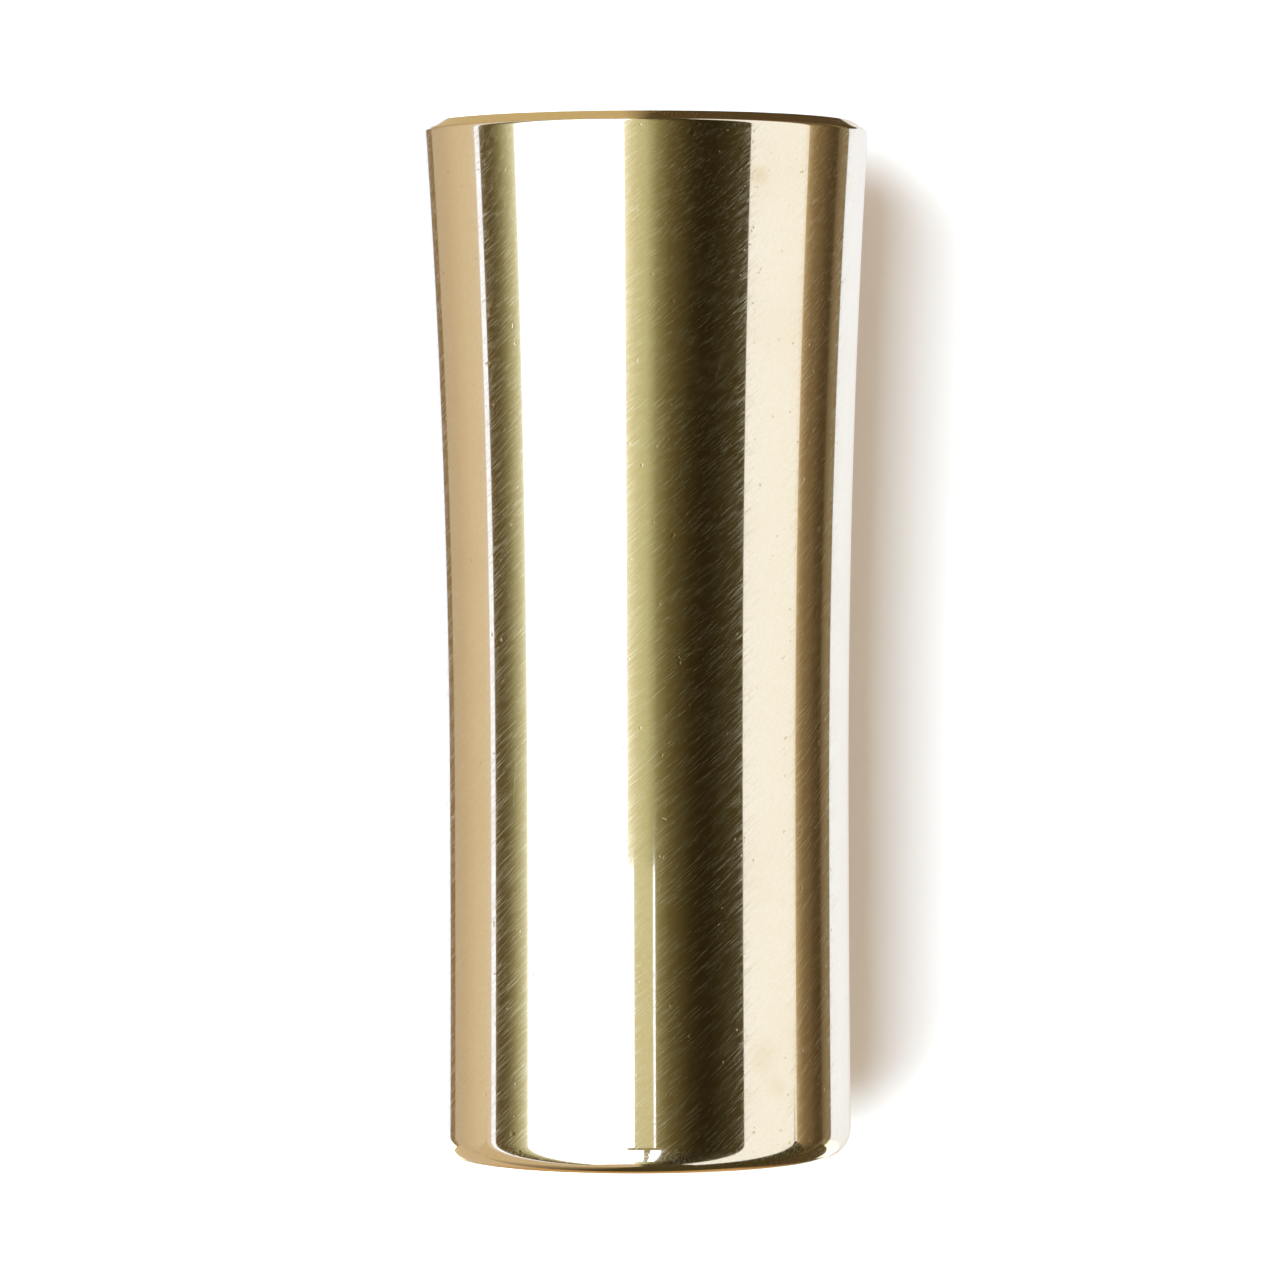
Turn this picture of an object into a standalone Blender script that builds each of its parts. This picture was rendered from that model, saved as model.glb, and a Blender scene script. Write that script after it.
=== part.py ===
"""Guitar slide: one lathe-turned tube of solid brass, flared at one end.

The bore runs along Y, with the flared end at +Y and the plain end at -Y, and the slide lies on
its side. The origin is on the bore's centre line, halfway along the length. Units are metres.
"""

from math import cos, pi, radians, sin, tan

import bpy

# Driving dimensions
LENGTH = 0.066                 # end face to end face
FLARE_DIAMETER = 0.0295        # outside, where the flare would meet the flared end's face
WAIST_DIAMETER = 0.02675       # outside, at the narrowest place
PLAIN_DIAMETER = 0.02695       # outside, where the body would meet the plain end's face
WAIST_FROM_FLARE = 0.0434      # distance of the waist from the flared end's face
BORE_DIAMETER = 0.020          # straight, for the player's finger
BORE_CHAMFER = 0.0004          # 45 degree lead-in at both mouths of the bore
BEVEL_DEPTH = 0.0006           # bevel between the outside and the flared end's face, along the axis
BEVEL_ANGLE = radians(56)      # of the bevel from the axis
BEVEL_ROUND = 0.0003           # rounding between the outside and the bevel
PLAIN_EDGE_RADIUS = 0.0017     # polished round between the outside and the plain end's face
PLAIN_EDGE_TURN = radians(82)  # how far that round turns before it meets the face

# Mesh resolution
TURN_STEPS = 64                # facets round the axis
BODY_STEPS = 14                # steps along the waisted outside, between its two edges
BEVEL_ROUND_STEPS = 3          # steps round the outside's edge of the bevel
EDGE_STEPS = 6                 # steps round the plain end's polished edge
SMOOTH_ANGLE = radians(20)     # edges sharper than this stay sharp in the shading

BRASS_COLOUR = (0.87, 0.73, 0.43, 1.0)
BRASS_ROUGHNESS = 0.06


def clear_scene():
    """Remove every object of the scene."""
    for old in list(bpy.data.objects):
        bpy.data.objects.remove(old, do_unlink=True)


def outside_radius(depth):
    """Outside radius at a depth below the flared end: a parabola either side of the waist."""
    waist = WAIST_DIAMETER / 2
    if depth < WAIST_FROM_FLARE:
        rise = FLARE_DIAMETER / 2 - waist
        share = (WAIST_FROM_FLARE - depth) / WAIST_FROM_FLARE
    else:
        rise = PLAIN_DIAMETER / 2 - waist
        share = (depth - WAIST_FROM_FLARE) / (LENGTH - WAIST_FROM_FLARE)
    return waist + rise * share ** 2


def bevel_start():
    """Depth at which the flared end's small round leaves the outside."""
    return BEVEL_DEPTH + BEVEL_ROUND * tan(BEVEL_ANGLE / 2)


def flared_edge():
    """Bevel of the flared end, from the face outwards, with the small round below it."""
    start = bevel_start()
    centre = outside_radius(start) - BEVEL_ROUND
    points = []
    for step in range(BEVEL_ROUND_STEPS):
        turn = BEVEL_ANGLE * (1 - step / BEVEL_ROUND_STEPS)
        radius = centre + BEVEL_ROUND * cos(turn)
        depth = start - BEVEL_ROUND * sin(turn)
        points.append((radius, depth))
    edge_radius, edge_depth = points[0]
    return [(edge_radius - edge_depth * tan(BEVEL_ANGLE), 0.0)] + points


def plain_edge():
    """Rounded outer edge of the plain end, from the outside down to the face."""
    start = LENGTH - PLAIN_EDGE_RADIUS * sin(PLAIN_EDGE_TURN)
    centre = outside_radius(start) - PLAIN_EDGE_RADIUS
    points = []
    for step in range(1, EDGE_STEPS + 1):
        turn = PLAIN_EDGE_TURN * step / EDGE_STEPS
        radius = centre + PLAIN_EDGE_RADIUS * cos(turn)
        depth = start + PLAIN_EDGE_RADIUS * sin(turn)
        points.append((radius, depth))
    return points


def waisted_outside():
    """Outside of the body between the bevel's round and the plain end's."""
    first = bevel_start()
    last = LENGTH - PLAIN_EDGE_RADIUS * sin(PLAIN_EDGE_TURN)
    points = []
    for step in range(BODY_STEPS + 1):
        depth = first + (last - first) * step / BODY_STEPS
        points.append((outside_radius(depth), depth))
    return points


def bore_side():
    """Bore with a chamfer at each mouth, from the plain end up to the flared end."""
    bore = BORE_DIAMETER / 2
    mouth = bore + BORE_CHAMFER
    return [
        (mouth, LENGTH),
        (bore, LENGTH - BORE_CHAMFER),
        (bore, BORE_CHAMFER),
        (mouth, 0.0),
    ]


def turned_profile():
    """Closed outline of the wall as (radius, depth below the flared end) points."""
    return flared_edge() + waisted_outside() + plain_edge() + bore_side()


def brass_material():
    """Polished brass."""
    material = bpy.data.materials.new("polished_brass")
    material.use_nodes = True
    shader = material.node_tree.nodes["Principled BSDF"]
    shader.inputs["Base Color"].default_value = BRASS_COLOUR
    shader.inputs["Metallic"].default_value = 1.0
    shader.inputs["Roughness"].default_value = BRASS_ROUGHNESS
    return material


def slide_body(collection):
    """The tube: its wall's outline turned about the bore's centre line."""
    outline = turned_profile()
    points = [(radius, 0.0, LENGTH / 2 - depth) for radius, depth in outline]
    edges = [(index, (index + 1) % len(points)) for index in range(len(points))]
    mesh = bpy.data.meshes.new("slide_body")
    mesh.from_pydata(points, edges, [])
    mesh.materials.append(brass_material())

    body = bpy.data.objects.new("slide_body", mesh)
    collection.objects.link(body)
    # Lay the turning axis, local Z, onto +Y.
    body.rotation_euler = (-pi / 2, 0.0, 0.0)

    turn = body.modifiers.new("turn", "SCREW")
    turn.axis = "Z"
    turn.angle = 2 * pi
    turn.steps = TURN_STEPS
    turn.render_steps = TURN_STEPS
    turn.use_merge_vertices = True
    turn.merge_threshold = 0.00001
    with bpy.context.temp_override(object=body):
        bpy.ops.object.modifier_apply(modifier=turn.name)
    body.data.shade_smooth()
    body.data.set_sharp_from_angle(angle=SMOOTH_ANGLE)
    return body


def main():
    clear_scene()
    collection = bpy.data.collections.new("guitar_slide")
    bpy.context.scene.collection.children.link(collection)
    slide_body(collection)


main()
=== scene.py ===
"""Looks of a polished brass guitar slide that lies on a white table in a studio.

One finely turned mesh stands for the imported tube. Its outside is mirror polished and hairlined by
hand, its bore keeps the reamer's marks and its end faces keep the lathe's. Strips of light and
shade round the slide, which only reflections see, draw the stripes along it. All sizes are metres.
"""

from math import atan2, cos, pi, radians, sin, sqrt, tan

import bmesh
import bpy
from mathutils import Matrix, Vector


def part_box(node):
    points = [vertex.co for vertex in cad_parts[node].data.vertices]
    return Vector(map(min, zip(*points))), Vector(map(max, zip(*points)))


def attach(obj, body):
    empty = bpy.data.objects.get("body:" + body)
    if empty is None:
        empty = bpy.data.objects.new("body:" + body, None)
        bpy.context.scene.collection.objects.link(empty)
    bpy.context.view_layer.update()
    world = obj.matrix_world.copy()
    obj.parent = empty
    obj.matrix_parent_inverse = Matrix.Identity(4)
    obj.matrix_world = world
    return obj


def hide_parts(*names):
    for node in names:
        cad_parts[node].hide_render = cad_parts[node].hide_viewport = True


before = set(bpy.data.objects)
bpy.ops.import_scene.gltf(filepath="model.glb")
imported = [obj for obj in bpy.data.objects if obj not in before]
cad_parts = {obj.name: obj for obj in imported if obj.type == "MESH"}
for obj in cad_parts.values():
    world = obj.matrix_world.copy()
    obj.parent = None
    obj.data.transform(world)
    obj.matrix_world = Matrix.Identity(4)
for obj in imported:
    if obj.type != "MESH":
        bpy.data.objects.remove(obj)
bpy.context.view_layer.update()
body_low, body_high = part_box("slide_body")

# The turned shape
LENGTH = body_high.y - body_low.y  # end face to end face
FLARE_DIAMETER = 0.0295            # outside, where the flare would meet the flared end's face
WAIST_DIAMETER = 0.02675           # outside, at the narrowest place
PLAIN_DIAMETER = 0.02695           # outside, where the body would meet the plain end's face
WAIST_FROM_FLARE = 0.0434          # distance of the waist from the flared end's face
BORE_DIAMETER = 0.020              # straight, for the player's finger
MOUTH_ROUND = 0.0004               # rounding of both mouths of the bore
BEVEL_DEPTH = 0.0006               # bevel between the outside and the flared end's face, along the axis
BEVEL_ANGLE = radians(56)          # of the bevel from the axis
BEVEL_ROUND = 0.0003               # rounding between the outside and the bevel
FACE_ROUND = 0.00015               # rounding between the bevel and the flared end's face
PLAIN_EDGE_RADIUS = 0.0017         # polished round between the outside and the plain end's face
PLAIN_EDGE_TURN = radians(82)      # how far that round turns before it meets the face
TURN_STEPS = 360                   # facets round the axis
BODY_STEPS = 56                    # steps along the outside, between its two edges
EDGE_STEPS = 12                    # steps round either outer edge
MOUTH_STEPS = 4                    # steps round either mouth of the bore
BORE_STEPS = 40                    # steps along the bore
FACE_MARGIN = 0.00012              # flat ring beside each edge of a face, which keeps its shading flat
EDGE_MARGIN = 0.00008              # ring of the outside beside each of its edges, for the same reason

# Materials of the slide
OUTSIDE, FACES, BORE = 0, 1, 2     # the mesh's material slots
BRASS = (0.87, 0.73, 0.43)
HAIRLINE_BRASS = (0.90, 0.78, 0.36)   # where a hairline scatters light
TARNISHED_BRASS = (0.74, 0.52, 0.22)
WHITE_IN_BRASS = (1.20, 1.42, 2.40)   # light that the brass reflects as plain white
DINGS = (                          # x, y and radius of the small dents
    (-0.0092, 0.0314, 0.00022),
    (-0.0119, 0.0295, 0.00014),
    (-0.0080, -0.0306, 0.00022),
    (-0.0076, -0.0317, 0.00018),
    (0.0034, 0.0316, 0.00024),
    (0.0037, 0.0321, 0.00016),
    (0.0033, -0.0264, 0.00010),
    (0.0070, -0.0305, 0.00014),
)
STAINS = (                         # x, y and radius of the warm stains
    (0.0079, -0.0258, 0.0016),
    (0.0084, -0.0276, 0.0012),
    (0.0075, 0.0290, 0.0010),
)

# The photographer's table and camera
CAMERA_DISTANCE = 0.410            # from the slide's centre
VIEW_WIDTH = 0.08195               # of the picture at the slide's centre
CAMERA_ROLL = radians(-0.17)       # of the slide in the picture
AIM = Vector((0.00005, 0.0, 0.0))  # what the camera looks at
SENSOR = 36.0                      # width of the camera's sensor, in millimetres

TABLE_HALF = 8.0                   # half the table's side
TABLE_GLOW = (0.10, 0.30)          # distances from its centre between which its own glow fades in
LIGHT_ANGLE = radians(-32.5)       # of the softbox's light from straight up, positive towards +X

# Reflected surroundings
CARD_DISTANCE = 0.45               # of the strips from the slide's axis
CARD_REACH = 1.60                  # of the strips along the slide, either way
CARD_FACET = 6                     # degrees round the axis that one facet of a hanging strip spans
CARD_LIFT = 0.0003                 # of the strips that lie on the table
WHITE_GLOW = 1.5                   # strength of the hanging strips that reflect as blown-out white
WHITE_TABLE = 0.0364               # half width of the brightly lit part of the table
SHADED_TABLE = 0.272                # how far from the axis the table's part in painted shade reaches on the right
CREAM_TABLE = 0.46                 # how far from the axis the cream part beyond it reaches
LEFT_EDGE = 0.0430                 # how far from the axis the dark line on the left reaches
TAN_TABLE = 0.60                   # how far from the axis the tan part beyond it reaches


# ---------------------------------------------------------------- the turned mesh


def outside_radius(depth):
    """Outside radius at a depth below the flared end: a parabola either side of the waist."""
    waist = WAIST_DIAMETER / 2
    if depth < WAIST_FROM_FLARE:
        rise = FLARE_DIAMETER / 2 - waist
        share = (WAIST_FROM_FLARE - depth) / WAIST_FROM_FLARE
    else:
        rise = PLAIN_DIAMETER / 2 - waist
        share = (depth - WAIST_FROM_FLARE) / (LENGTH - WAIST_FROM_FLARE)
    return waist + rise * share ** 2


def arc(centre, radius, first, last, steps):
    """Points of a round on the outside, turning from one angle from the axis to another."""
    points = []
    for step in range(steps + 1):
        turn = first + (last - first) * step / steps
        points.append((centre[0] + radius * cos(turn), centre[1] - radius * sin(turn)))
    return points


def flared_edge():
    """Bevel of the flared end with its small rounds, from the outside up to the face."""
    start = BEVEL_DEPTH + BEVEL_ROUND * tan(BEVEL_ANGLE / 2)
    centre = (outside_radius(start) - BEVEL_ROUND, start)
    below = arc(centre, BEVEL_ROUND, 0.0, BEVEL_ANGLE, EDGE_STEPS // 2)
    radius, depth = below[-1]
    corner = radius - depth * tan(BEVEL_ANGLE)
    inset = FACE_ROUND * tan((radians(90) - BEVEL_ANGLE) / 2)
    above = arc((corner - inset, FACE_ROUND), FACE_ROUND, BEVEL_ANGLE, radians(90), EDGE_STEPS // 2)
    return below + above


def plain_edge():
    """Polished round of the plain end, from the outside down to the face."""
    start = LENGTH - PLAIN_EDGE_RADIUS * sin(PLAIN_EDGE_TURN)
    centre = (outside_radius(start) - PLAIN_EDGE_RADIUS, start)
    return arc(centre, PLAIN_EDGE_RADIUS, 0.0, -PLAIN_EDGE_TURN, EDGE_STEPS)


def mouth_round(face, inward):
    """Rounding of one mouth of the bore, from the face into the bore."""
    points = []
    for step in range(MOUTH_STEPS + 1):
        turn = radians(90) * step / MOUTH_STEPS
        radius = BORE_DIAMETER / 2 + MOUTH_ROUND * (1 - sin(turn))
        points.append((radius, face + inward * MOUTH_ROUND * (1 - cos(turn))))
    return points


def face_points(outer, inner, face):
    """Rings of a flat face near its outer and inner edges."""
    return [(outer - FACE_MARGIN, face), (inner + FACE_MARGIN, face)]


def turned_profile():
    """Closed outline of the wall as stretches of (radius, depth) points, each with its material."""
    flare = flared_edge()
    plain = plain_edge()
    first, last = flare[0][1], plain[0][1]
    depths = [first + (last - first) * step / BODY_STEPS for step in range(1, BODY_STEPS)]
    depths = [first + EDGE_MARGIN] + depths + [last - EDGE_MARGIN]
    outside = flare[::-1] + [(outside_radius(depth), depth) for depth in depths] + plain
    plain_mouth = mouth_round(LENGTH, -1)
    flare_mouth = mouth_round(0.0, 1)
    plain_face = face_points(plain[-1][0], plain_mouth[0][0], LENGTH)
    flare_face = face_points(flare[-1][0], flare_mouth[0][0], 0.0)
    bore_first, bore_last = plain_mouth[-1][1], flare_mouth[-1][1]
    bore = []
    for step in range(1, BORE_STEPS):
        depth = bore_first + (bore_last - bore_first) * step / BORE_STEPS
        bore.append((BORE_DIAMETER / 2, depth))
    return [
        (outside, OUTSIDE),
        (plain_face, FACES),
        (plain_mouth + bore + flare_mouth[::-1], BORE),
        (flare_face[::-1], FACES),
    ]


def turned_rings(build):
    """Rings of vertices round the bore's centre line, and the material that each belongs to."""
    rings = []
    regions = []
    for points, region in turned_profile():
        for radius, depth in points:
            ring = []
            for step in range(TURN_STEPS):
                turn = 2 * pi * step / TURN_STEPS
                place = (radius * sin(turn), body_high.y - depth, radius * cos(turn))
                ring.append(build.verts.new(place))
            rings.append(ring)
            regions.append(region)
    return rings, regions


def turned_mesh():
    """The wall's outline turned about the bore's centre line."""
    mesh = bpy.data.meshes.new("turned_slide")
    build = bmesh.new()
    rings, regions = turned_rings(build)
    for index, ring in enumerate(rings):
        following = (index + 1) % len(rings)
        region = regions[index] if regions[index] == regions[following] else FACES
        for step in range(TURN_STEPS):
            beside = (step + 1) % TURN_STEPS
            corners = (ring[step], ring[beside], rings[following][beside], rings[following][step])
            face = build.faces.new(corners)
            face.material_index = region
            face.smooth = True
    bmesh.ops.recalc_face_normals(build, faces=build.faces)
    build.to_mesh(mesh)
    build.free()
    for material in (outside_brass(), faced_brass(), bored_brass()):
        mesh.materials.append(material)
    return mesh


def slide_piece():
    """The slide, which is one piece from end to end."""
    slide = bpy.data.objects.new("turned_slide", turned_mesh())
    bpy.context.scene.collection.objects.link(slide)
    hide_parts("slide_body")
    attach(slide, "root")


# ---------------------------------------------------------------- node helpers


def add(tree, kind, settings=None, **inputs):
    """A node with its settings, and with each input set or linked.

    An input goes by its name, with _ for a space, or by a letter and its number, such as i0.
    """
    node = tree.nodes.new(kind)
    for name, value in (settings or {}).items():
        setattr(node, name, value)
    for name, value in inputs.items():
        key = int(name[1:]) if name[1:].isdigit() else name.replace("_", " ")
        socket = node.inputs[key]
        if isinstance(value, bpy.types.NodeSocket):
            tree.links.new(value, socket)
        else:
            socket.default_value = value
    return node


def math(tree, operation, first, second=0.0):
    """One Math node's result."""
    return add(tree, "ShaderNodeMath", {"operation": operation}, i0=first, i1=second).outputs[0]


def band(tree, value, low, high, to_low=0.0, to_high=1.0):
    """Value mapped smoothly from low..high to to_low..to_high."""
    settings = {"interpolation_type": "SMOOTHSTEP"}
    limits = {"From_Min": low, "From_Max": high, "To_Min": to_low, "To_Max": to_high}
    return add(tree, "ShaderNodeMapRange", settings, Value=value, **limits).outputs["Result"]


def mix(tree, factor, first, second):
    """Two colours mixed."""
    node = add(tree, "ShaderNodeMix", {"data_type": "RGBA"}, i0=factor)
    for socket, value in ((node.inputs[6], first), (node.inputs[7], second)):
        if isinstance(value, bpy.types.NodeSocket):
            tree.links.new(value, socket)
        else:
            socket.default_value = (*value, 1.0)
    return node.outputs[2]


def tinted(tree, colour, mask, share, tint):
    """The colour, mixed with a share of the tint where the mask is 1."""
    return mix(tree, math(tree, "MULTIPLY", mask, share), colour, tint)


def noise(tree, place, scale, detail=2.0, roughness=0.5):
    """A noise value at a place."""
    return add(tree, "ShaderNodeTexNoise", None, Vector=place, Scale=scale, Detail=detail,
               Roughness=roughness).outputs[0]


def new_material(name):
    """A material with its tree, its shader and the surface's place in the slide's own frame."""
    material = bpy.data.materials.new(name)
    material.use_nodes = True
    tree = material.node_tree
    shader = tree.nodes["Principled BSDF"]
    shader.inputs["Metallic"].default_value = 1.0
    place = tree.nodes.new("ShaderNodeTexCoord").outputs["Object"]
    return material, tree, shader, place


# ---------------------------------------------------------------- brass


def strokes(tree, place, lean, width, length, low, high, shift=0.0):
    """Mask of fine straight strokes that wind round the axis, leaning from it by an angle.

    Noise that is width by length in size is cut between low and high. The shift moves the noise,
    so that two sets of strokes differ.
    """
    along = add(tree, "ShaderNodeSeparateXYZ", None, Vector=place).outputs["Y"]
    twist = tan(lean) / (WAIST_DIAMETER / 2)
    angle = math(tree, "MULTIPLY", along, -twist)
    unwound = add(tree, "ShaderNodeVectorRotate", {"rotation_type": "Y_AXIS"}, Vector=place,
                  Angle=angle).outputs[0]
    scaled = add(tree, "ShaderNodeVectorMath", {"operation": "MULTIPLY"}, i0=unwound,
                 i1=(1 / width, 1 / length, 1 / width)).outputs[0]
    moved = add(tree, "ShaderNodeVectorMath", {"operation": "ADD"}, i0=scaled,
                i1=(shift, shift, shift)).outputs[0]
    return band(tree, noise(tree, moved, 1.0, 1.0), low, high)


def marks(tree, place, spots):
    """Mask of round marks on the outside, each given by its x, its y and its radius."""
    mask = 0.0
    for across, along, size in spots:
        up = sqrt(outside_radius(body_high.y - along) ** 2 - across ** 2)
        away = add(tree, "ShaderNodeVectorMath", {"operation": "DISTANCE"}, i0=place,
                   i1=(across, along, up)).outputs["Value"]
        mask = math(tree, "MAXIMUM", band(tree, away, 0.3 * size, size, 1.0, 0.0), mask)
    return mask


def outside_brass():
    """Mirror polish with diagonal hairlines, faint smudges, warm stains, rare pits and dings."""
    material, tree, shader, place = new_material("polished_brass")
    fine = strokes(tree, place, radians(52), width=0.000034, length=0.0013, low=0.56, high=0.70)
    second = strokes(tree, place, radians(46), width=0.000036, length=0.0022, low=0.60, high=0.74,
                     shift=11.0)
    crossing = strokes(tree, place, radians(-30), width=0.00004, length=0.0024, low=0.74, high=0.84,
                       shift=23.0)
    upright = strokes(tree, place, radians(4), width=0.00004, length=0.0060, low=0.70, high=0.82,
                      shift=37.0)
    lines = math(tree, "MAXIMUM", math(tree, "MAXIMUM", fine, second),
                 math(tree, "MAXIMUM", crossing, upright))
    waves = strokes(tree, place, radians(50), width=0.00026, length=0.0030, low=0.2, high=0.8,
                    shift=53.0)
    smudge = band(tree, noise(tree, place, 160.0, 3.0, 0.6), 0.42, 0.70)
    grain = noise(tree, place, 5200.0, 1.0)
    specks = band(tree, noise(tree, place, 2600.0, 1.0), 0.74, 0.80)
    pits = math(tree, "MAXIMUM", specks, marks(tree, place, DINGS))
    stain = math(tree, "MULTIPLY", marks(tree, place, STAINS), smudge)
    colour = mix(tree, band(tree, grain, 0.3, 0.7, 0.0, 0.10), BRASS, TARNISHED_BRASS)
    colour = tinted(tree, colour, lines, 0.60, HAIRLINE_BRASS)
    colour = tinted(tree, colour, smudge, 0.10, TARNISHED_BRASS)
    colour = tinted(tree, colour, pits, 0.5, TARNISHED_BRASS)
    colour = tinted(tree, colour, stain, 0.4, TARNISHED_BRASS)
    tree.links.new(colour, shader.inputs["Base Color"])
    rough = math(tree, "ADD", math(tree, "MULTIPLY", lines, 0.24), 0.03)
    rough = math(tree, "ADD", rough, math(tree, "MULTIPLY", smudge, 0.02))
    tree.links.new(rough, shader.inputs["Roughness"])
    depth = math(tree, "ADD", math(tree, "MULTIPLY", waves, 0.12), math(tree, "MULTIPLY", pits, 6.0))
    height = math(tree, "SUBTRACT", 0.0, depth)
    bump = add(tree, "ShaderNodeBump", None, Strength=0.3, Distance=0.000003, Height=height)
    tree.links.new(bump.outputs[0], shader.inputs["Normal"])
    return material


def ring_marks(tree, place, scale):
    """Fine rings round the axis, as a lathe tool leaves on a face."""
    flat = add(tree, "ShaderNodeVectorMath", {"operation": "MULTIPLY"}, i0=place,
               i1=(1.0, 0.0, 1.0)).outputs[0]
    radius = add(tree, "ShaderNodeVectorMath", {"operation": "LENGTH"}, i0=flat).outputs["Value"]
    ring = add(tree, "ShaderNodeCombineXYZ", None, X=radius).outputs[0]
    return noise(tree, ring, scale, 3.0, 0.7)


def faced_brass():
    """Faced and lightly polished end, with rings that the lathe tool left."""
    material, tree, shader, place = new_material("faced_brass")
    rings = ring_marks(tree, place, 7000.0)
    smudge = band(tree, noise(tree, place, 240.0, 3.0, 0.6), 0.40, 0.70)
    colour = tinted(tree, BRASS, smudge, 0.25, TARNISHED_BRASS)
    tree.links.new(colour, shader.inputs["Base Color"])
    rough = band(tree, rings, 0.3, 0.8, 0.10, 0.26)
    tree.links.new(rough, shader.inputs["Roughness"])
    bump = add(tree, "ShaderNodeBump", None, Strength=0.4, Distance=0.000006, Height=rings)
    tree.links.new(bump.outputs[0], shader.inputs["Normal"])
    return material


def bored_brass():
    """Bored and reamed inside, dull and a little tarnished, with fine rings along its length."""
    material, tree, shader, place = new_material("bored_brass")
    stretched = add(tree, "ShaderNodeVectorMath", {"operation": "MULTIPLY"}, i0=place,
                    i1=(60.0, 9000.0, 60.0)).outputs[0]
    rings = noise(tree, stretched, 1.0, 3.0, 0.65)
    stain = band(tree, noise(tree, place, 210.0, 4.0, 0.62), 0.38, 0.68)
    colour = tinted(tree, BRASS, stain, 0.6, TARNISHED_BRASS)
    tree.links.new(colour, shader.inputs["Base Color"])
    rough = math(tree, "ADD", band(tree, rings, 0.3, 0.75, 0.20, 0.34),
                 math(tree, "MULTIPLY", stain, 0.08))
    tree.links.new(rough, shader.inputs["Roughness"])
    bump = add(tree, "ShaderNodeBump", None, Strength=0.5, Distance=0.00001, Height=rings)
    tree.links.new(bump.outputs[0], shader.inputs["Normal"])
    return material


# ---------------------------------------------------------------- table


def table_matrix():
    """Place and tilt of the table, which touches the slide under both of its ends."""
    flare_depth = BEVEL_DEPTH
    plain_depth = LENGTH - PLAIN_EDGE_RADIUS
    flare, plain = outside_radius(flare_depth), outside_radius(plain_depth)
    tilt = atan2(flare - plain, plain_depth - flare_depth)
    height = -flare + tan(tilt) * (body_high.y - flare_depth)
    return Matrix.Translation((0.0, 0.0, height)) @ Matrix.Rotation(-tilt, 4, "X")


def grid_object(name, corners, material):
    """A flat four-sided mesh, with its first texture axis from the first corner to the second."""
    mesh = bpy.data.meshes.new(name)
    mesh.from_pydata(corners, [], [(0, 1, 2, 3)])
    mesh.uv_layers.new(name="UVMap")
    for loop, place in zip(mesh.uv_layers[0].data, ((0, 0), (1, 0), (1, 1), (0, 1))):
        loop.uv = place
    mesh.materials.append(material)
    piece = bpy.data.objects.new(name, mesh)
    bpy.context.scene.collection.objects.link(piece)
    return piece


def table_top(table):
    """White table, larger than any view. It glows white out where the softbox doesn't reach."""
    material = bpy.data.materials.new("white_table")
    material.use_nodes = True
    tree = material.node_tree
    shader = tree.nodes["Principled BSDF"]
    place = tree.nodes.new("ShaderNodeTexCoord").outputs["Object"]
    away = add(tree, "ShaderNodeVectorMath", {"operation": "LENGTH"}, i0=place).outputs["Value"]
    shader.inputs["Emission Color"].default_value = (1.0, 1.0, 1.0, 1.0)
    tree.links.new(band(tree, away, *TABLE_GLOW), shader.inputs["Emission Strength"])
    shader.inputs["Base Color"].default_value = (0.88, 0.88, 0.87, 1.0)
    shader.inputs["Roughness"].default_value = 0.7
    shader.inputs["Specular IOR Level"].default_value = 0.2
    half = TABLE_HALF
    corners = [(-half, -half, 0), (half, -half, 0), (half, half, 0), (-half, half, 0)]
    top = grid_object("table", corners, material)
    top.matrix_world = table


# ---------------------------------------------------------------- reflected surroundings


def linear(value):
    """An sRGB value from 0 to 255 as linear light."""
    share = value / 255
    if share <= 0.04045:
        return share / 12.92
    return ((share + 0.055) / 1.055) ** 2.4


def seen_in_brass(red, green, blue, brass=BRASS):
    """Light that looks like this sRGB colour when the brass reflects it."""
    return tuple(linear(value) / tint for value, tint in zip((red, green, blue), brass))


def glancing_brass(share):
    """The brass's colour where it's seen at a slant and reflects a share of the way to white."""
    return tuple(tint + (1.0 - tint) * share for tint in BRASS)


def glowing(name, stops, strength=1.0):
    """Emission whose colour runs through the stops along the first texture axis."""
    material = bpy.data.materials.new(name)
    material.use_nodes = True
    tree = material.node_tree
    tree.nodes.clear()
    across = add(tree, "ShaderNodeTexCoord").outputs["UV"]
    share = add(tree, "ShaderNodeSeparateXYZ", None, Vector=across).outputs["X"]
    ramp = add(tree, "ShaderNodeValToRGB", None, Fac=share)
    elements = ramp.color_ramp.elements
    elements.remove(elements[1])
    elements[0].position = stops[0][0]
    elements[0].color = (*stops[0][1], 1.0)
    for position, colour in stops[1:]:
        elements.new(position).color = (*colour, 1.0)
    light = add(tree, "ShaderNodeEmission", None, Color=ramp.outputs[0], Strength=strength)
    output = tree.nodes.new("ShaderNodeOutputMaterial")
    tree.links.new(light.outputs[0], output.inputs[0])
    return material


def evenly(colour):
    """Stops of a card that has one colour."""
    return [(0.0, colour), (1.0, colour)]


def side_by_side(colours, joins):
    """Stops of a card with flat colours, blended between each join's start and its end."""
    places = [0.0] + [place for join in joins for place in join] + [1.0]
    return [(place, colours[index // 2]) for index, place in enumerate(places)]


def only_reflected(piece):
    """Hides a card from everything except reflections."""
    piece.visible_camera = False
    piece.visible_diffuse = False
    piece.visible_transmission = False
    piece.visible_volume_scatter = False
    piece.visible_shadow = False


def card_place(angle, along, distance=CARD_DISTANCE):
    """Point at a distance from the slide's axis and an angle from straight up, positive to +X."""
    return Vector((distance * sin(angle), along, distance * cos(angle)))


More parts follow.
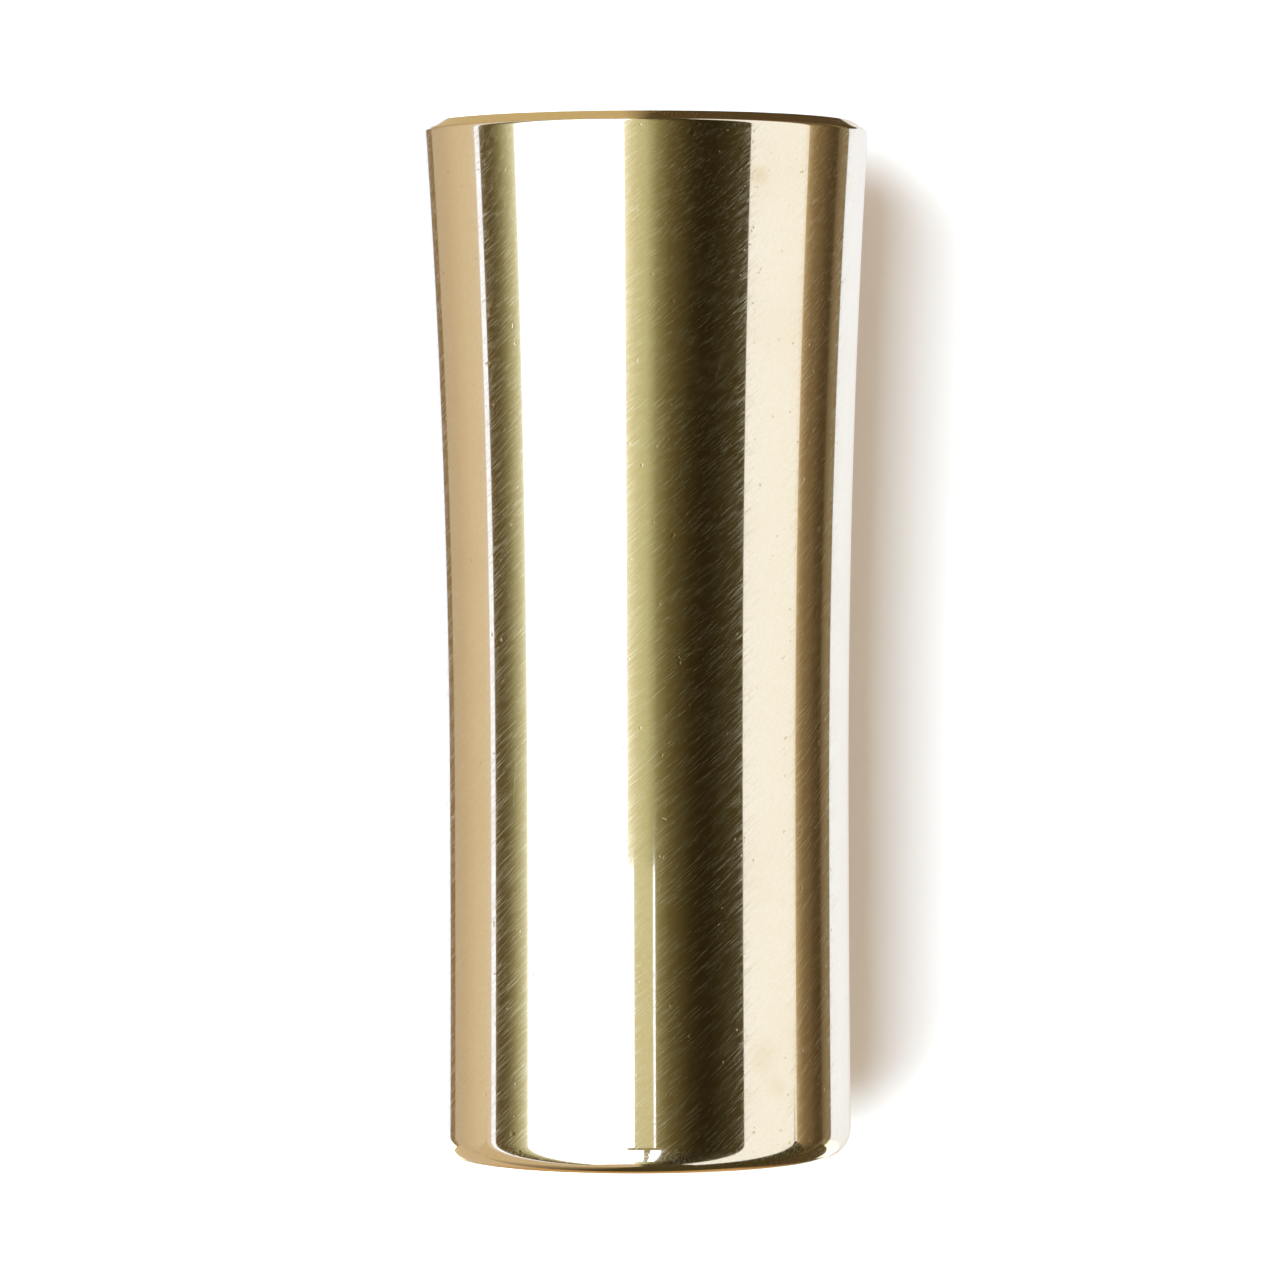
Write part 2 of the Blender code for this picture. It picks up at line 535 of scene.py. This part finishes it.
def hanging_card(name, start, end, stops, strength=1.0, reach=(-CARD_REACH, CARD_REACH),
                 distance=CARD_DISTANCE):
    """Strip of light parallel to the slide, between two angles from straight up in degrees."""
    count = max(1, round((end - start) / CARD_FACET))
    places = []
    faces = []
    shares = []
    for step in range(count + 1):
        angle = radians(start + (end - start) * step / count)
        places += [card_place(angle, along, distance) for along in reach]
    for step in range(count):
        low = 2 * step
        faces.append((low, low + 2, low + 3, low + 1))
        shares += [step / count, (step + 1) / count, (step + 1) / count, step / count]
    mesh = bpy.data.meshes.new(name)
    mesh.from_pydata(places, [], faces)
    mesh.uv_layers.new(name="UVMap")
    for loop, share in zip(mesh.uv_layers[0].data, shares):
        loop.uv = (share, 0.5)
    mesh.materials.append(glowing(name, stops, strength))
    piece = bpy.data.objects.new(name, mesh)
    bpy.context.scene.collection.objects.link(piece)
    only_reflected(piece)


def table_card(name, table, start, end, stops, reach=(-CARD_REACH, CARD_REACH), lift=CARD_LIFT,
               slant=0.0):
    """Strip on the table, parallel to the slide, from one distance to another across it.

    A slant pushes the start's corner at its -Y edge towards +Y, and pulls the end's corner back.
    """
    corners = [
        (start, reach[0] + slant, lift),
        (end, reach[0] - slant, lift),
        (end, reach[1], lift),
        (start, reach[1], lift),
    ]
    piece = grid_object(name, corners, glowing(name, stops))
    piece.matrix_world = table
    only_reflected(piece)


def end_card(name, along, left, right):
    """Upright card past one end of the slide, with one colour on each side of the axis."""
    wide, low, high = CARD_DISTANCE, -0.05, CARD_DISTANCE * 1.2
    corners = [(-wide, along, low), (wide, along, low), (wide, along, high), (-wide, along, high)]
    stops = side_by_side((left, right), ((0.47, 0.53),))
    only_reflected(grid_object(name, corners, glowing(name, stops)))


def cards_on_the_left():
    """A dark wall that brightens towards the softbox, over a tan one with a bright rim."""
    wall = [
        (0.0, seen_in_brass(106, 84, 46)),
        (0.1, seen_in_brass(96, 77, 40)),
        (0.2, seen_in_brass(88, 72, 38)),
        (0.4, seen_in_brass(100, 87, 52)),
        (0.58, seen_in_brass(132, 119, 75)),
        (0.76, seen_in_brass(172, 160, 112)),
        (0.9, seen_in_brass(200, 190, 142)),
        (1.0, seen_in_brass(232, 226, 190)),
    ]
    hanging_card("left_wall", -84.8, -63.0, wall)
    hanging_card("left_rim", -88.1, -84.8, evenly(WHITE_IN_BRASS))
    hanging_card("left_low_wall", -92.5, -88.1, evenly(seen_in_brass(214, 189, 152)))


def cards_overhead():
    """The softbox, and the ceiling that darkens away from it."""
    hanging_card("softbox_glow", -63.0, -6.6, evenly(WHITE_IN_BRASS), WHITE_GLOW)
    ceiling = [
        (0.0, seen_in_brass(240, 226, 186)),
        (0.03, seen_in_brass(224, 209, 156)),
        (0.08, seen_in_brass(204, 191, 137)),
        (0.17, seen_in_brass(184, 174, 118)),
        (0.25, seen_in_brass(133, 120, 72)),
        (0.34, seen_in_brass(98, 83, 43)),
        (0.43, seen_in_brass(74, 62, 30)),
        (0.52, seen_in_brass(52, 41, 16)),
        (0.61, seen_in_brass(40, 30, 11)),
        (0.70, seen_in_brass(41, 31, 11)),
        (0.80, seen_in_brass(52, 43, 19)),
        (0.90, seen_in_brass(64, 53, 26)),
        (1.0, seen_in_brass(74, 62, 33)),
    ]
    hanging_card("ceiling", -6.6, 57.4, ceiling)


def cards_over_the_plain_end():
    """A lamp's bar and stub with the bright patches round them, just below the ceiling's strip.

    Going away past the plain end, a panel, the softbox's corner and a rod come first, then the
    lamp's bar, and past the bar the softbox again, with the lamp's stub in front of it.
    """
    bar_near, bar_far = -0.069, -0.125
    before_bar = (bar_near, -0.036)
    past_bar = (-0.85, bar_far)
    nearer = 0.98 * CARD_DISTANCE
    nearest = 0.99 * nearer
    panel = evenly(seen_in_brass(206, 191, 138))
    hanging_card("ceiling_panel", -3.4, 7.0, panel, 1.0, before_bar, nearer)
    white = evenly(WHITE_IN_BRASS)
    hanging_card("softbox_corner", -8.0, -3.0, white, WHITE_GLOW, before_bar, nearer)
    hanging_card("ceiling_rod", 6.9, 8.0, white, WHITE_GLOW, before_bar, nearer)
    hanging_card("softbox_past_bar", -6.6, 11.0, white, WHITE_GLOW, past_bar, nearer)
    olive = evenly(seen_in_brass(150, 132, 84))
    hanging_card("lamp_bar", -7.0, 10.5, olive, 1.0, (bar_far, bar_near), nearest)
    hanging_card("lamp_stub", 1.8, 5.2, olive, 1.0, past_bar, nearest)


def cards_on_the_right():
    """A cream wall, from the ceiling's edge down to the table."""
    cream = [(0.0, seen_in_brass(248, 240, 222)), (1.0, seen_in_brass(248, 238, 218))]
    hanging_card("cream_wall", 57.4, 93.5, cream)


def reflected_table(table):
    """What the brass reflects of the table: white near the slide, in painted shade further out."""
    # Painted shadow: the white table darkens towards the slide, where the slide's own shadow falls, as
    # the brass reflects it
    near_right = [
        (0.0, seen_in_brass(208, 192, 172, glancing_brass(0.85))),
        (0.11, seen_in_brass(230, 219, 204, glancing_brass(0.66))),
        (0.2, seen_in_brass(240, 233, 224, glancing_brass(0.48))),
        (0.28, seen_in_brass(244, 239, 232, glancing_brass(0.36))),
        (0.55, seen_in_brass(246, 243, 238, glancing_brass(0.16))),
        (1.0, seen_in_brass(245, 244, 240, glancing_brass(0.06))),
    ]
    near = (-LENGTH / 2 - 0.005, CARD_REACH)
    left_start, right_start = -0.010, 0.013  # both under the slide
    table_card("near_right", table, right_start, WHITE_TABLE, near_right, near)
    table_card("near_left", table, -WHITE_TABLE, left_start, evenly(WHITE_IN_BRASS), near)
    # Painted shade: the table on the right, away from the softbox, as the brass reflects it
    shaded_brown = [
        (0.0, seen_in_brass(127, 102, 62)),
        (0.02, seen_in_brass(133, 112, 76)),
        (0.045, seen_in_brass(116, 95, 60)),
        (0.065, seen_in_brass(78, 59, 30)),
        (0.085, seen_in_brass(77, 59, 32)),
        (0.13, seen_in_brass(88, 68, 39)),
        (0.20, seen_in_brass(110, 86, 52)),
        (0.30, seen_in_brass(118, 95, 58)),
        (0.49, seen_in_brass(143, 115, 74)),
        (1.0, seen_in_brass(186, 154, 102)),
    ]
    table_card("shaded_table", table, WHITE_TABLE, SHADED_TABLE, shaded_brown)
    cream = evenly(seen_in_brass(245, 231, 204))
    table_card("cream_table", table, SHADED_TABLE, CREAM_TABLE, cream)
    table_card("left_edge", table, -LEFT_EDGE, -WHITE_TABLE, evenly(seen_in_brass(134, 106, 66)))
    tan_table = [
        (0.0, seen_in_brass(213, 187, 147)),
        (0.67, seen_in_brass(213, 186, 143)),
        (0.865, seen_in_brass(209, 182, 141)),
        (0.935, seen_in_brass(202, 175, 133)),
        (0.97, seen_in_brass(194, 167, 127)),
        (1.0, seen_in_brass(188, 164, 127)),
    ]
    table_card("tan_table", table, -TAN_TABLE, -LEFT_EDGE, tan_table)


def cards_past_flared_end(table):
    """What the bevel reflects past the flared end: gold on the left, brown in painted shade on the
    right.
    """
    gold, shaded_brown = seen_in_brass(196, 166, 108), seen_in_brass(80, 60, 32)
    sides = side_by_side((gold, shaded_brown), ((0.45, 0.55),))
    reach = (LENGTH / 2 + 0.008, CARD_REACH)
    table_card("table_past_flared_end", table, -WHITE_TABLE, WHITE_TABLE, sides, reach,
               2 * CARD_LIFT, slant=0.004)
    end_card("wall_past_flared_end", CARD_REACH, gold, shaded_brown)


def cards_past_plain_end(table):
    """What the plain end's round reflects, in three strips across the table and a wall."""
    tan_brass, orange = seen_in_brass(200, 170, 124), seen_in_brass(190, 142, 78)
    # The brown on the right is the table in painted shade
    olive, shaded_brown = seen_in_brass(66, 54, 26), seen_in_brass(80, 60, 32)
    lift = 2 * CARD_LIFT
    start, middle, last = -LENGTH / 2 - 0.007, -LENGTH / 2 - 0.010, -LENGTH / 2 - 0.030
    half = 0.017
    rim = side_by_side((tan_brass, orange, shaded_brown), ((0.16, 0.24), (0.8, 0.9)))
    table_card("table_at_plain_end", table, -half, half, rim, (middle, start), lift)
    half = 0.045
    rim = side_by_side((tan_brass, orange, shaded_brown), ((0.30, 0.36), (0.62, 0.68)))
    table_card("table_past_plain_end", table, -half, half, rim, (last, middle), lift)
    half = CARD_DISTANCE
    shades = side_by_side((tan_brass, olive), ((0.45, 0.49),))
    table_card("far_past_plain_end", table, -half, half, shades, (-CARD_REACH, last), lift)
    end_card("wall_past_plain_end", -CARD_REACH, tan_brass, olive)


# ---------------------------------------------------------------- light, world and camera


def softbox_light():
    """Large soft light from the upper left, which the brass sees as the glowing card instead."""
    light = bpy.data.lights.new("softbox", "AREA")
    light.shape = "RECTANGLE"
    light.color = (0.72, 0.87, 1.0)
    light.size = 0.48
    light.size_y = 0.50
    light.energy = 7.6
    lamp = bpy.data.objects.new("softbox", light)
    lamp.location = card_place(LIGHT_ANGLE, 0.0)
    lamp.rotation_euler = (0.0, LIGHT_ANGLE, 0.0)
    lamp.visible_camera = False
    lamp.visible_glossy = False
    bpy.context.scene.collection.objects.link(lamp)


def studio_world():
    """White to the camera, soft warm light on the table, and a dim warm room in reflections."""
    world = bpy.data.worlds.new("studio")
    world.use_nodes = True
    bpy.context.scene.world = world
    tree = world.node_tree
    tree.nodes.clear()
    path = tree.nodes.new("ShaderNodeLightPath")
    white = add(tree, "ShaderNodeBackground", None, Color=(1.0, 1.0, 1.0, 1.0), Strength=1.1)
    soft = add(tree, "ShaderNodeBackground", None, Color=(1.0, 0.80, 0.63, 1.0), Strength=0.68)
    room = add(tree, "ShaderNodeBackground", None, Color=(0.30, 0.24, 0.16, 1.0), Strength=1.0)
    indirect = tree.nodes.new("ShaderNodeMixShader")
    tree.links.new(path.outputs["Is Glossy Ray"], indirect.inputs[0])
    tree.links.new(soft.outputs[0], indirect.inputs[1])
    tree.links.new(room.outputs[0], indirect.inputs[2])
    shown = tree.nodes.new("ShaderNodeMixShader")
    tree.links.new(path.outputs["Is Camera Ray"], shown.inputs[0])
    tree.links.new(indirect.outputs[0], shown.inputs[1])
    tree.links.new(white.outputs[0], shown.inputs[2])
    output = tree.nodes.new("ShaderNodeOutputWorld")
    tree.links.new(shown.outputs[0], output.inputs[0])


def plain_colours():
    """Shows the light's colours as they are, with no film look."""
    view = bpy.context.scene.view_settings
    view.view_transform = "Standard"
    view.look = "None"


def overhead_camera(table):
    """Camera that looks straight down at the table, with the slide upright in the picture."""
    data = bpy.data.cameras.new("overhead")
    data.sensor_width = SENSOR
    data.lens = SENSOR * CAMERA_DISTANCE / VIEW_WIDTH
    data.clip_start = 0.01
    data.clip_end = 20.0
    camera = bpy.data.objects.new("overhead", data)
    bpy.context.scene.collection.objects.link(camera)
    turn = table.to_3x3().to_4x4()
    up = turn @ Vector((0.0, 0.0, 1.0))
    roll = Matrix.Rotation(CAMERA_ROLL, 4, "Z")
    camera.matrix_world = Matrix.Translation(AIM + up * CAMERA_DISTANCE) @ turn @ roll
    bpy.context.scene.camera = camera


table = table_matrix()
overhead_camera(table)
slide_piece()
table_top(table)
cards_on_the_left()
cards_overhead()
cards_over_the_plain_end()
cards_on_the_right()
reflected_table(table)
cards_past_flared_end(table)
cards_past_plain_end(table)
softbox_light()
studio_world()
plain_colours()
